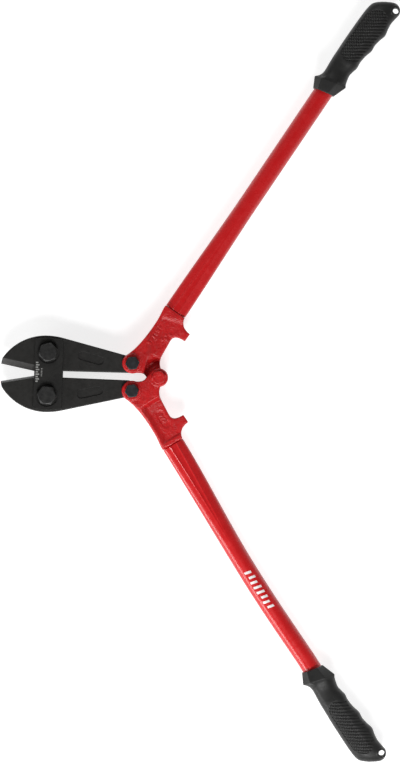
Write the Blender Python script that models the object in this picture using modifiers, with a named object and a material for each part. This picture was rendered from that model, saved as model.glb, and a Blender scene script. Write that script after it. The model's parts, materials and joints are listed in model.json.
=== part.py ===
"""Compound-action bolt cutters, 24 inch size, lying flat and opened wide.

The tool lies in the XY plane with its jaws towards -X and its front face up (+Z).  Two cover plates
hold the jaw bolts.  Each jaw swings on its bolt, and its tail sits in the fork of a handle casting,
where a link bolt passes through it.  The two castings cross at the fulcrum bolt.  Each casting carries
a swaged steel tube with a rubber grip.
"""
import math

import bmesh
import bpy
from mathutils import Matrix, Vector

MM = 0.001
GAP = 0.3 * MM                      # air left between pieces that touch

# Linkage, seen from the front.  Angles in degrees.
JAW_BOLT_Y = 22.1 * MM              # jaw bolt to the tool's centre line
LINK_REACH = 86.9 * MM              # jaw bolt to link bolt, along a jaw
FORK_REACH = 30.6 * MM              # fulcrum bolt to link bolt, across a casting
LINK_ANGLE = 27.55                  # link bolt above the centre line, seen from the fulcrum, opened
HANDLE_ANGLE = 57.1                 # handle off the centre line, opened
HANDLE_SKEW = 0.85                  # both handles lean this far the same way in their loose joints
HANDLE_CLOSED = 1.9                 # handle off the centre line when the stops meet

# Jaws and cover plates
JAW_THICK = 13.0 * MM
JAW_EDGE = 0.5 * MM                 # rounding of a jaw's rims
PLATE_THICK = 4.6 * MM
PLATE_EDGE = 0.7 * MM
EDGE_TIP = 45.0 * MM                # cutting edge, measured along the closed jaw from its bolt
EDGE_ROOT = 4.0 * MM
BEVEL_WIDE = 6.4 * MM               # ground bevel on one face
BEVEL_NARROW = 2.0 * MM             # and on the other
TAIL_HOLE_R = 6.3 * MM              # link bolt runs with play in the tail
TAIL_END_R = 8.4 * MM
TAIL_HOLE_SHIFT = Vector((-1.15 * MM, 1.40 * MM))
TAIL_OUTER_EDGE = 166.8             # direction of the tail's two long edges, opened
TAIL_INNER_EDGE = 180.4

# Castings
FORK_HALF = 12.3 * MM               # half thickness over the fork and the ears
BOSS_HALF = 13.1 * MM
EYE_R = 10.45 * MM
EYE_BOSS_R = 9.5 * MM
EAR_BOSS_R = 9.35 * MM
SLOT_R = 12.8 * MM                  # fork slot, cleared round the link bolt for the tail's end
EAR_R = 9.6 * MM
SHANK_HALF = 8.8 * MM               # half thickness along the shank
POCKET_HALF = 7.2 * MM
SEAM_X = 65.6 * MM                  # casting ends here and the tube starts
TUBE_OFFSET = 23.7 * MM             # tube axis to the line through the fulcrum

# Tubes and grips
TUBE_R = 9.6 * MM
TUBE_WALL = 2.0 * MM
SWAGE_WIDE = 11.35 * MM             # half width of the flattened end
SWAGE_THIN = 6.8 * MM
SWAGE_END = 205.0 * MM              # the tube is round from here
TUBE_END = 427.0 * MM
SPIGOT_THIN = 4.3 * MM              # half thickness of the casting's spigot inside the tube
GRIP_BORE_START = 330.0 * MM
HANG_HOLE = Vector((446.6 * MM, -14.4 * MM))
HANG_HOLE_R = 3.4 * MM

# Fasteners
BOLT_END = -22.0 * MM               # all bolts end level, and the tool rests on them
JAW_BOLT_R = 6.0 * MM               # M12
JAW_BOLT_HEX_R = 10.15 * MM         # to the corners
JAW_BOLT_HEAD = 7.5 * MM
JAW_NUT_HEX_R = 10.4 * MM
JAW_WASHER_R = 11.1 * MM
JAW_WASHER_THICK = 1.6 * MM
SLIM_BOLT_R = 4.0 * MM              # M8
SLIM_BOLT_HEX_R = 7.4 * MM
SLIM_BOLT_HEAD = 5.5 * MM
SLIM_NUT_HEX_R = 7.5 * MM
SLIM_WASHER_R = 8.0 * MM
SLIM_WASHER_THICK = 1.4 * MM
COUNTERBORE = 0.8 * MM              # seats milled into the plates for the bolt heads
COUNTERBORE_R = 11.5 * MM

FACETS = 32                         # sides of a full-size round
SMALL_FACETS = 20                   # sides of a small one
RING_FACETS = 28                    # sides of tubes, washers and the bores round them
SHARP = 32.0                        # an edge this many degrees or more stays crisp
FLIP = math.pi                      # a piece turned front to back about the tool's axis


def link_rise(angle):
    """Height of a link bolt over the centre line when its casting stands at this angle."""
    return FORK_REACH * math.sin(math.radians(angle))


def jaw_lean(angle):
    """Angle of the line from jaw bolt to link bolt, in radians."""
    return math.asin((link_rise(angle) - JAW_BOLT_Y) / LINK_REACH)


TRAVEL = HANDLE_ANGLE - HANDLE_CLOSED
JAW_OPEN = jaw_lean(LINK_ANGLE + TRAVEL) - jaw_lean(LINK_ANGLE)
FULCRUM_X = (LINK_REACH * math.cos(jaw_lean(LINK_ANGLE))
             + FORK_REACH * math.cos(math.radians(LINK_ANGLE)))
LINK_TURN = math.radians(180.0 - LINK_ANGLE - HANDLE_ANGLE)
LINK_SPOT = Vector((math.cos(LINK_TURN), math.sin(LINK_TURN))) * FORK_REACH
TAIL_SPOT = Vector((math.cos(jaw_lean(LINK_ANGLE)), math.sin(jaw_lean(LINK_ANGLE)))) * LINK_REACH


# ---------------------------------------------------------------- scene and materials

def clear_scene():
    for obj in list(bpy.data.objects):
        bpy.data.objects.remove(obj, do_unlink=True)


def new_collection(name):
    group = bpy.data.collections.new(name)
    bpy.context.scene.collection.children.link(group)
    return group


def paint(name, color, roughness, metallic):
    mat = bpy.data.materials.new(name)
    mat.use_nodes = True
    shader = mat.node_tree.nodes["Principled BSDF"]
    shader.inputs["Base Color"].default_value = (*color, 1.0)
    shader.inputs["Roughness"].default_value = roughness
    shader.inputs["Metallic"].default_value = metallic
    return mat


clear_scene()
PARTS = new_collection("bolt_cutters")
CUTTERS = new_collection("cutters")

RED_CAST = paint("red_cast_iron", (0.48, 0.015, 0.018), 0.45, 0.0)
RED_TUBE = paint("red_tube", (0.50, 0.012, 0.015), 0.28, 0.0)
BLACK_STEEL = paint("black_steel", (0.030, 0.029, 0.027), 0.55, 0.6)
BLACK_BOLT = paint("black_bolt", (0.026, 0.027, 0.030), 0.45, 0.7)
BLACK_RUBBER = paint("black_rubber", (0.022, 0.022, 0.021), 0.75, 0.0)


def link_object(name, mesh, group, parent):
    obj = bpy.data.objects.new(name, mesh)
    group.objects.link(obj)
    obj.parent = parent
    return obj


def part(name, mesh, parent, mat):
    obj = link_object(name, mesh, PARTS, parent)
    obj.data.materials.clear()
    obj.data.materials.append(mat)
    mesh.shade_smooth()
    mesh.set_sharp_from_angle(angle=math.radians(SHARP))
    return obj


def cutter(name, mesh, parent):
    obj = link_object(name, mesh, CUTTERS, parent)
    obj.hide_render = True
    obj.display_type = "WIRE"
    return obj


def pivot(name, x, y, heading=0.0, flip=0.0, parent=None):
    """An empty on a joint's axis, or on the tool's own centre line."""
    empty = bpy.data.objects.new(name, None)
    PARTS.objects.link(empty)
    empty.location = (x, y, 0.0)
    empty.rotation_euler = (flip, 0.0, heading)
    empty.parent = parent
    return empty


def boolean(obj, operand, operation):
    mod = obj.modifiers.new(operand.name, "BOOLEAN")
    mod.solver = "EXACT"
    mod.operation = operation
    mod.object = operand
    return mod


# ---------------------------------------------------------------- outlines and solids

def arc(center, radius, start, stop, steps):
    """Points on a circle, angles in degrees."""
    turn = [math.radians(start + (stop - start) * i / steps) for i in range(steps + 1)]
    return [Vector((center[0] + radius * math.cos(a), center[1] + radius * math.sin(a))) for a in turn]


def arc_through(first, middle, last, steps):
    """Circular arc from first to last by way of middle."""
    (ax, ay), (bx, by), (cx, cy) = first, middle, last
    twice = 2.0 * (ax * (by - cy) + bx * (cy - ay) + cx * (ay - by))
    aa, bb, cc = ax * ax + ay * ay, bx * bx + by * by, cx * cx + cy * cy
    x = (aa * (by - cy) + bb * (cy - ay) + cc * (ay - by)) / twice
    y = (aa * (cx - bx) + bb * (ax - cx) + cc * (bx - ax)) / twice
    begin = math.degrees(math.atan2(ay - y, ax - x))
    finish = math.degrees(math.atan2(cy - y, cx - x))
    passing = math.degrees(math.atan2(by - y, bx - x))
    clockwise = (passing - begin) % 360.0 > (finish - begin) % 360.0
    sweep = -((begin - finish) % 360.0) if clockwise else (finish - begin) % 360.0
    return arc((x, y), math.hypot(ax - x, ay - y), begin, begin + sweep, steps)


def in_mm(*points):
    return [Vector((x * MM, y * MM)) for x, y in points]


def slab(name, outline, low, high, edge=0.0):
    """A flat outline given thickness from low to high, with its rims rounded by edge."""
    curve = bpy.data.curves.new(name, "CURVE")
    curve.dimensions = "2D"
    curve.fill_mode = "BOTH"
    curve.extrude = (high - low) / 2.0 - edge
    curve.bevel_depth = edge
    curve.bevel_resolution = 1
    curve.offset = -edge
    spline = curve.splines.new("POLY")
    spline.points.add(len(outline) - 1)
    for point, place in zip(spline.points, outline):
        point.co = (place[0], place[1], 0.0, 1.0)
    spline.use_cyclic_u = True
    return solid_from_curve(name, curve, (low + high) / 2.0)


def solid_from_curve(name, curve, lift):
    """Turn a filled curve into a closed mesh, moved up by lift."""
    guide = bpy.data.objects.new(name + "_guide", curve)
    bpy.context.scene.collection.objects.link(guide)
    graph = bpy.context.evaluated_depsgraph_get()
    mesh = bpy.data.meshes.new_from_object(guide.evaluated_get(graph))
    bpy.data.objects.remove(guide, do_unlink=True)
    bpy.data.curves.remove(curve)
    shape = bmesh.new()
    shape.from_mesh(mesh)
    bmesh.ops.remove_doubles(shape, verts=shape.verts, dist=1e-6)
    bmesh.ops.recalc_face_normals(shape, faces=shape.faces)
    bmesh.ops.translate(shape, verts=shape.verts, vec=(0.0, 0.0, lift))
    shape.to_mesh(mesh)
    shape.free()
    mesh.name = name
    return mesh


def rod(name, radius, low, high, spot=(0.0, 0.0), facets=None):
    """A round, or a regular prism, standing along Z."""
    if facets is None:
        facets = FACETS if radius > 5.0 * MM else SMALL_FACETS
    shape = bmesh.new()
    bmesh.ops.create_cone(shape, cap_ends=True, segments=facets, radius1=radius, radius2=radius,
                          depth=high - low)
    bmesh.ops.translate(shape, verts=shape.verts, vec=(spot[0], spot[1], (low + high) / 2.0))
    mesh = bpy.data.meshes.new(name)
    shape.to_mesh(mesh)
    shape.free()
    return mesh


def hull(name, points):
    """Smallest convex solid around the points."""
    shape = bmesh.new()
    for place in points:
        shape.verts.new(place)
    bmesh.ops.convex_hull(shape, input=shape.verts)
    bmesh.ops.recalc_face_normals(shape, faces=shape.faces)
    mesh = bpy.data.meshes.new(name)
    shape.to_mesh(mesh)
    shape.free()
    return mesh


def turned(name, profile, parent, mat):
    """A ring or a round turned about Z from a profile that runs down its outer side."""
    mesh = bpy.data.meshes.new(name)
    count = len(profile)
    mesh.from_pydata([(r, 0.0, z) for r, z in profile], [(i, (i + 1) % count) for i in range(count)], [])
    obj = part(name, mesh, parent, mat)
    screw = obj.modifiers.new("turn", "SCREW")
    screw.steps = RING_FACETS
    screw.render_steps = RING_FACETS
    screw.use_merge_vertices = True
    screw.merge_threshold = 0.00001
    return obj


def loft(name, rings, capped):
    """Skin over rings that all have the same number of points."""
    shape = bmesh.new()
    loops = [[shape.verts.new(place) for place in ring] for ring in rings]
    count = len(loops[0])
    for near, far in zip(loops, loops[1:]):
        for i in range(count):
            j = (i + 1) % count
            shape.faces.new((near[i], near[j], far[j], far[i]))
    if capped:
        shape.faces.new(list(reversed(loops[0])))
        shape.faces.new(loops[-1])
    bmesh.ops.recalc_face_normals(shape, faces=shape.faces)
    mesh = bpy.data.meshes.new(name)
    shape.to_mesh(mesh)
    shape.free()
    return mesh


def squircle(count, power):
    """Unit ring between a circle (power 2) and a square (high power)."""
    ring = []
    for i in range(count):
        angle = 2.0 * math.pi * (i + 0.5) / count
        c, s = math.cos(angle), math.sin(angle)
        ring.append((math.copysign(abs(c) ** (2.0 / power), c), math.copysign(abs(s) ** (2.0 / power), s)))
    return ring


# ---------------------------------------------------------------- jaws

def opened(x, y):
    """A point of the closed jaw, turned to where it lies on the opened jaw."""
    c, s = math.cos(JAW_OPEN), math.sin(JAW_OPEN)
    return Vector((x * c + y * s, -x * s + y * c))


def jaw_outline():
    """Blade, shoulder and tail, from the cutting edge round the outside to the tail and back."""
    edge_y = GAP / 2.0 - JAW_BOLT_Y
    root = opened(-EDGE_ROOT, edge_y)
    tip = opened(-EDGE_TIP, edge_y)
    nose, crown, shoulder = in_mm((-46.9, -7.2), (-0.9, 17.1), (15.5, 15.0))
    hole = TAIL_SPOT + TAIL_HOLE_SHIFT
    outline = [root, tip, nose]
    outline += arc_through(nose, Vector((-28.5 * MM, 10.0 * MM)), crown, 12)[1:]
    outline += arc_through(crown, Vector((8.3 * MM, 16.4 * MM)), shoulder, 4)[1:]
    outline += arc(hole, TAIL_END_R, 134.0, -50.0, 14)
    outline += in_mm((84.2, -18.1), (82.6, -18.4), (16.5, -18.9), (1.0, -18.9), (-2.5, -19.4))
    return list(reversed(outline))


def edge_bevel(name, parent, width, side):
    """Prism that grinds one face of the blade down to the cutting edge in its mid-plane."""
    edge_y = GAP / 2.0 - JAW_BOLT_Y
    tip = opened(-EDGE_TIP - 4.0 * MM, edge_y)
    root = opened(-EDGE_ROOT + 0.5 * MM, edge_y)
    inward = (opened(0.0, 1.0) - opened(0.0, 0.0)).normalized()
    slope = (JAW_THICK / 2.0) / width
    out, over = 1.0 * MM, JAW_THICK / 2.0 + 1.0 * MM
    section = [(-out, -out * slope), (over / slope, over), (-out, over)]
    points = []
    for end in (tip, root):
        points += [(end.x + inward.x * n, end.y + inward.y * n, side * z) for n, z in section]
    return cutter(name, hull(name, points), parent)


def make_jaw(side, parent):
    half = JAW_THICK / 2.0
    name = "jaw_" + side
    jaw = part(name, slab(name, jaw_outline(), -half, half, JAW_EDGE), parent, BLACK_STEEL)
    boolean(jaw, edge_bevel("grind_wide_" + side, parent, BEVEL_WIDE, 1.0), "DIFFERENCE")
    boolean(jaw, edge_bevel("grind_narrow_" + side, parent, BEVEL_NARROW, -1.0), "DIFFERENCE")
    bore = rod("jaw_bore_" + side, JAW_BOLT_R + GAP, -half - MM, half + MM)
    boolean(jaw, cutter("jaw_bore_" + side, bore, parent), "DIFFERENCE")
    spot = TAIL_SPOT + TAIL_HOLE_SHIFT
    hole = rod("tail_hole_" + side, TAIL_HOLE_R, -half - MM, half + MM, spot)
    boolean(jaw, cutter("tail_hole_" + side, hole, parent), "DIFFERENCE")
    return jaw


# ---------------------------------------------------------------- cover plates

def plate_outline():
    corner_back, middle, corner_front = in_mm((-13.8, 35.5), (0.0, 37.0), (15.2, 35.2))
    top = arc_through(corner_back, middle, corner_front, 8)
    bottom = [Vector((p.x, -p.y)) for p in reversed(top)]
    return list(reversed(top + bottom))


def make_plate(side, parent):
    low = JAW_THICK / 2.0 + GAP
    name = "cover_plate_" + side
    plate = part(name, slab(name, plate_outline(), low, low + PLATE_THICK, PLATE_EDGE), parent, BLACK_STEEL)
    for tag, y in (("upper", JAW_BOLT_Y), ("lower", -JAW_BOLT_Y)):
        hole = rod("plate_hole", JAW_BOLT_R + GAP, low - MM, low + PLATE_THICK + MM, (0.0, y))
        boolean(plate, cutter("hole_" + side + "_" + tag, hole, parent), "DIFFERENCE")
        floor = low + PLATE_THICK - COUNTERBORE
        seat = rod("plate_seat", COUNTERBORE_R, floor, floor + 3.0 * MM, (0.0, y))
        boolean(plate, cutter("seat_" + side + "_" + tag, seat, parent), "DIFFERENCE")
    return plate


# ---------------------------------------------------------------- fasteners

def hex_blank(name, corner_r, low, high, chamfer_top, chamfer_bottom):
    """Hexagon with 30 degree chamfers, as an operand pair: the prism and the turned envelope."""
    sides = FACETS if corner_r > JAW_BOLT_R + 3.0 * MM else SMALL_FACETS
    prism = rod(name, corner_r, low, high, facets=6)
    step = 0.14 * corner_r
    drop = step * math.tan(math.radians(30.0))
    profile_low = low + (drop if chamfer_bottom else 0.0)
    profile_high = high - (drop if chamfer_top else 0.0)
    narrow = corner_r - step
    wide = corner_r + 0.05 * MM
    points = []
    for z, r in ((low, narrow if chamfer_bottom else wide), (profile_low, wide),
                 (profile_high, wide), (high, narrow if chamfer_top else wide)):
        points += [(r * math.cos(2.0 * math.pi * (i + 0.5) / sides),
                    r * math.sin(2.0 * math.pi * (i + 0.5) / sides), z) for i in range(sides)]
    return prism, hull(name + "_envelope", points)


def make_bolt(name, parent, spot, flip, turn, shank_r, corner_r, head_low, head_high, mat):
    prism, envelope = hex_blank(name, corner_r, head_low, head_high, True, False)
    bolt = part(name, prism, parent, mat)
    trim = cutter(name + "_envelope", envelope, parent)
    shank = cutter(name + "_shank", rod(name + "_shank", shank_r, BOLT_END, head_low + MM), parent)
    for obj in (bolt, trim, shank):
        obj.location = (spot[0], spot[1], 0.0)
        obj.rotation_euler = (flip, 0.0, math.radians(turn))
    boolean(bolt, trim, "INTERSECT")
    boolean(bolt, shank, "UNION")
    return bolt


def make_nut(name, parent, spot, flip, turn, bore_r, corner_r, low, high, mat):
    prism, envelope = hex_blank(name, corner_r, low, high, True, True)
    nut = part(name, prism, parent, mat)
    trim = cutter(name + "_envelope", envelope, parent)
    bore = cutter(name + "_bore", rod(name + "_bore", bore_r, low - MM, high + MM), parent)
    for obj in (nut, trim, bore):
        obj.location = (spot[0], spot[1], 0.0)
        obj.rotation_euler = (flip, 0.0, math.radians(turn))
    boolean(nut, trim, "INTERSECT")
    boolean(nut, bore, "DIFFERENCE")
    return nut


def make_washer(name, parent, spot, flip, inner_r, outer_r, low, high, mat):
    ring = turned(name, [(outer_r, high), (outer_r, low), (inner_r, low), (inner_r, high)], parent, mat)
    ring.location = (spot[0], spot[1], 0.0)
    ring.rotation_euler = (flip, 0.0, 0.0)
    return ring


def jaw_fasteners(side, parent, y, turn):
    """Twelve millimetre bolt down through plate, jaw and plate, with its washer and nut behind."""
    seat = JAW_THICK / 2.0 + GAP + PLATE_THICK - COUNTERBORE + GAP
    spot = (0.0, y)
    make_bolt("jaw_bolt_" + side, parent, spot, 0.0, turn, JAW_BOLT_R, JAW_BOLT_HEX_R,
              seat, seat + JAW_BOLT_HEAD, BLACK_BOLT)
    washer_end = -seat - JAW_WASHER_THICK
    make_washer("jaw_washer_" + side, parent, spot, 0.0, JAW_BOLT_R + GAP, JAW_WASHER_R,
                washer_end, -seat, BLACK_BOLT)
    make_nut("jaw_nut_" + side, parent, spot, 0.0, turn + 20.0, JAW_BOLT_R + GAP, JAW_NUT_HEX_R,
             BOLT_END + 0.6 * MM, washer_end - GAP, BLACK_BOLT)


def slim_fasteners(kind, parent, spot, flip, turn, mat):
    """Eight millimetre bolt through a fork or through the two ears, with its washer and nut behind."""
    seat = BOSS_HALF + GAP
    bolt, nut, washer = ("%s_%s%s" % (kind[0], piece, kind[1]) for piece in ("bolt", "nut", "washer"))
    make_bolt(bolt, parent, spot, flip, turn, SLIM_BOLT_R, SLIM_BOLT_HEX_R,
              seat, seat + SLIM_BOLT_HEAD, mat)
    washer_end = -seat - SLIM_WASHER_THICK
    make_washer(washer, parent, spot, flip, SLIM_BOLT_R + GAP, SLIM_WASHER_R, washer_end, -seat, mat)
    make_nut(nut, parent, spot, flip, turn + 10.0, SLIM_BOLT_R + GAP, SLIM_NUT_HEX_R,
             BOLT_END + 0.4 * MM, washer_end - GAP, mat)


# ---------------------------------------------------------------- handle castings

def casting_outline():
    """Eye, neck, ear, shank and stop horn of one casting.  X runs down the shank, Y away from the
    other handle, and the fulcrum is the origin."""
    outline = arc((0.0, 0.0), EAR_R, 163.0, 383.0, 18)
    outline += in_mm((9.9, 4.7), (11.6, 6.4), (13.8, 7.8), (16.6, 9.0), (20.5, 9.8))
    outline += in_mm((30.8, 10.6), (38.2, 11.1))
    outline += in_mm((41.2, 10.6), (43.4, 8.9), (44.8, 6.2), (45.5, 2.6), (45.7, -1.35), (54.6, -1.62))
    outline += in_mm((55.3, 2.6), (57.0, 6.9), (60.0, 10.0), (63.0, 11.6), (65.6, 12.1))
    outline += in_mm((65.6, 35.5), (61.5, 35.6), (51.0, 34.3), (41.0, 34.0), (31.0, 34.3), (20.5, 35.2))
    outline += in_mm((10.5, 36.9))
    outline += arc(LINK_SPOT, EYE_R, 58.0, 234.0, 16)
    outline += in_mm((-7.2, 19.2), (-6.0, 16.4), (-5.8, 13.6), (-6.6, 11.2))
    return outline


def fork_slot_outline():
    """Room that the jaw's tail needs between the cheeks, from opened to closed."""
    reach = 34.0 * MM
    first = TAIL_OUTER_EDGE - HANDLE_ANGLE - HANDLE_SKEW - 1.0
    last = TAIL_INNER_EDGE + math.degrees(JAW_OPEN) - HANDLE_CLOSED + 1.0
    behind = arc(LINK_SPOT, SLOT_R, last + 90.0 - 360.0, first - 90.0, 16)
    corners = []
    for start, angle in ((behind[-1], first), (LINK_SPOT, (first + last) / 2.0), (behind[0], last)):
        turn = math.radians(angle)
        corners.append(start + Vector((math.cos(turn), math.sin(turn))) * reach)
    return behind + corners


def casting_cutters(side, parent):
    """Everything that is taken off the raw casting.  The ear is behind, so the front is stepped."""
    top = BOSS_HALF + 2.0 * MM
    found = []

    def take(name, mesh):
        found.append(cutter(name + "_" + side, mesh, parent))

    take("fork_slot", slab("fork_slot", fork_slot_outline(), -JAW_THICK / 2.0 - GAP, JAW_THICK / 2.0 + GAP))
    step = in_mm((-28, -28), (13, -28), (13, 18.7), (9.3, 17.2), (6.1, 16.7), (1.1, 15.9), (-4.1, 14.4),
                 (-7, 15.2), (-28, 15.2))
    take("ear_step", slab("ear_step", step, -GAP / 2.0, top))
    ramp = [(x * MM, y * MM, z) for x, y, z in (
        (12.9, -28, -GAP / 2.0), (12.9, 18.7, -GAP / 2.0),
        (21.5, -28, POCKET_HALF), (21.5, 25.5, POCKET_HALF),
        (12.9, -28, top), (12.9, 18.7, top), (21.5, -28, top), (21.5, 25.5, top))]
    take("ear_ramp", hull("ear_ramp", ramp))
    for face, sign in (("front", 1.0), ("rear", -1.0)):
        shank = ((15.9, FORK_HALF + 0.05 * MM), (20.5, SHANK_HALF), (70.0, SHANK_HALF - 0.7 * MM))
        points = [(x * MM, y * MM, sign * z) for x, level in shank for y in (-10, 50) for z in (level, top)]
        take("shank_" + face, hull("shank_level", points))
        rim = ((19.0, SHANK_HALF + 0.7 * MM), (21.5, POCKET_HALF),
               (55.0, POCKET_HALF), (59.5, SHANK_HALF + 0.3 * MM))
        points = [(x * MM, y * MM, sign * z) for x, z in rim for y in (-10, 29.5)]
        take("pocket_" + face, hull("pocket", points))
    take("link_hole", rod("link_hole", SLIM_BOLT_R + GAP, -top, top, LINK_SPOT))
    take("fulcrum_hole", rod("fulcrum_hole", SLIM_BOLT_R + GAP, -top, top))
    return found


def make_casting(side, parent):
    name = "handle_casting_" + side
    casting = part(name, slab(name, casting_outline(), -FORK_HALF, FORK_HALF, 0.8 * MM), parent, RED_CAST)
    eye_boss = rod("eye_boss", EYE_BOSS_R, -BOSS_HALF, BOSS_HALF, LINK_SPOT)
    ear_boss = rod("ear_boss", EAR_BOSS_R, -BOSS_HALF, -GAP)
    boolean(casting, cutter("eye_boss_" + side, eye_boss, parent), "UNION")
    boolean(casting, cutter("ear_boss_" + side, ear_boss, parent), "UNION")
    for operand in casting_cutters(side, parent):
        boolean(casting, operand, "DIFFERENCE")
    stations = ((SEAM_X - 4.0 * MM, 8.8), (SEAM_X + 4.0 * MM, 8.8), (SEAM_X + 32.0 * MM, 8.1))
    rings = [[(x, TUBE_OFFSET + c * wide * MM, s * SPIGOT_THIN) for c, s in squircle(24, 2.6)]
             for x, wide in stations]
    boolean(casting, cutter("spigot_" + side, loft("spigot", rings, True), parent), "UNION")
    return casting


# ---------------------------------------------------------------- tubes and grips

def make_tube(side, parent):
    """Round steel tube, swaged flat over the casting's spigot."""
    start = SEAM_X + GAP
    rings = []
    steps = 8
    for i in range(steps + 1):
        t = i / steps
        ease = t * t * (3.0 - 2.0 * t)
        wide = SWAGE_WIDE + (TUBE_R - SWAGE_WIDE) * ease
        thin = SWAGE_THIN + (TUBE_R - SWAGE_THIN) * ease
        x = start + (SWAGE_END - start) * t
        rings.append([(x, TUBE_OFFSET + c * wide, s * thin)
                      for c, s in squircle(RING_FACETS, 3.2 - 1.2 * ease)])
    rings.append([(TUBE_END, TUBE_OFFSET + c * TUBE_R, s * TUBE_R)
                  for c, s in squircle(RING_FACETS, 2.0)])
    name = "handle_tube_" + side
    tube = part(name, loft(name, rings, False), parent, RED_TUBE)
    wall = tube.modifiers.new("wall", "SOLIDIFY")
    wall.thickness = TUBE_WALL
    wall.offset = -1.0
    return tube


# Grip stations: outer side (x, y), inner side (x, y) and half thickness, from the tube's axis, in mm.
GRIP_STATIONS = (
    ((334.2, 11.1), (338.6, -11.2), 11.0),
    ((345.2, 16.7), (353.2, -16.7), 15.8),
    ((349.5, 13.3), (357.0, -14.9), 13.8),
    ((355.0, 11.6), (365.4, -13.1), 12.6),
    ((367.0, 12.1), (371.0, -14.0), 13.0),
    ((373.5, 12.4), (376.3, -15.2), 13.8),
    ((380.0, 12.4), (382.5, -14.7), 14.0),
    ((389.0, 12.5), (391.0, -15.6), 14.2),
    ((396.5, 12.5), (399.0, -17.8), 14.3),
    ((403.5, 12.4), (406.0, -17.5), 14.3),
    ((411.0, 12.3), (413.0, -18.7), 14.3),
    ((418.0, 12.1), (420.0, -20.6), 14.2),
    ((426.0, 11.8), (427.0, -19.4), 14.0),
    ((434.8, 11.0), (434.0, -18.8), 13.5),
    ((441.2, 8.9), (441.0, -19.8), 12.6),
    ((447.0, 2.7), (446.6, -20.5), 10.8),
    ((451.6, -5.0), (451.0, -18.2), 7.8),
    ((453.9, -10.4), (453.7, -14.2), 3.2),
)


def make_grip(side, parent):
    rings = []
    for (ox, oy), (ix, iy), half in GRIP_STATIONS:
        mid_x, mid_y = (ox + ix) / 2.0, (oy + iy) / 2.0
        half_x, half_y = (ox - ix) / 2.0, (oy - iy) / 2.0
        rings.append([((mid_x + c * half_x) * MM, TUBE_OFFSET + (mid_y + c * half_y) * MM, s * half * MM)
                      for c, s in squircle(24, 2.5)])
    name = "grip_" + side
    grip = part(name, loft(name, rings, True), parent, BLACK_RUBBER)
    depth = TUBE_END + GAP - GRIP_BORE_START
    bore = rod("grip_bore", TUBE_R + GAP, 0.0, depth, facets=RING_FACETS)
    along = Matrix.Rotation(math.pi / 2.0, 4, "Y")
    bore.transform(Matrix.Translation((GRIP_BORE_START, TUBE_OFFSET, 0.0)) @ along)
    boolean(grip, cutter("grip_bore_" + side, bore, parent), "DIFFERENCE")
    spot = (HANG_HOLE.x, TUBE_OFFSET + HANG_HOLE.y)
    hole = rod("hang_hole", HANG_HOLE_R, -20.0 * MM, 20.0 * MM, spot, facets=24)
    boolean(grip, cutter("hang_hole_" + side, hole, parent), "DIFFERENCE")
    return grip


# ---------------------------------------------------------------- assembly

def make_handle(side, parent, flip):
    make_casting(side, parent)
    make_tube(side, parent)
    make_grip(side, parent)
    slim_fasteners(("link", "_" + side), parent, LINK_SPOT, flip, 8.0, BLACK_BOLT)


def bounds(objects):
    graph = bpy.context.evaluated_depsgraph_get()
    low, high = Vector((1e9,) * 3), Vector((-1e9,) * 3)
    for obj in objects:
        shaped = obj.evaluated_get(graph)
        mesh = shaped.to_mesh()
        for vertex in mesh.vertices:
            place = shaped.matrix_world @ vertex.co
            low = Vector(map(min, low, place))
            high = Vector(map(max, high, place))
        shaped.to_mesh_clear()
    return low, high


def main():
    tool = pivot("tool", 0.0, 0.0)
    head = pivot("head", 0.0, 0.0, parent=tool)
    head_rear = pivot("head_rear", 0.0, 0.0, flip=FLIP, parent=tool)
    make_plate("front", head)
    make_plate("rear", head_rear)
    jaw_fasteners("upper", head, JAW_BOLT_Y, 17.3)
    jaw_fasteners("lower", head, -JAW_BOLT_Y, -5.0)
    make_jaw("upper", pivot("jaw_pivot_upper", 0.0, JAW_BOLT_Y, parent=tool))
    make_jaw("lower", pivot("jaw_pivot_lower", 0.0, -JAW_BOLT_Y, flip=FLIP, parent=tool))
    upper = math.radians(HANDLE_ANGLE + HANDLE_SKEW)
    lower = math.radians(HANDLE_SKEW - HANDLE_ANGLE)
    make_handle("upper", pivot("handle_pivot_upper", FULCRUM_X, 0.0, upper, parent=tool), 0.0)
    make_handle("lower", pivot("handle_pivot_lower", FULCRUM_X, 0.0, lower, FLIP, parent=tool), FLIP)
    fulcrum = pivot("fulcrum", FULCRUM_X, 0.0, parent=tool)
    slim_fasteners(("fulcrum", ""), fulcrum, (0.0, 0.0), 0.0, 12.0, RED_CAST)
    bpy.context.view_layer.update()
    low, high = bounds([obj for obj in PARTS.objects if obj.type == "MESH"])
    tool.location = (-(low.x + high.x) / 2.0, -(low.y + high.y) / 2.0, -low.z)


main()
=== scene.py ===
"""Looks of the bolt cutters: pieces, materials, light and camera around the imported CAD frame.

Shapes are built in millimetres, each in the frame of the body it belongs to, and put in place at the end.
A handle's frame has its origin at the fulcrum, X down the shank and Y away from the other handle.  A jaw's
frame has its origin at its bolt.  The lower jaw and handle are the upper ones turned over.
"""

import json
import math

import bmesh
import bpy
import numpy as np
from mathutils import Matrix, Vector


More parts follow.
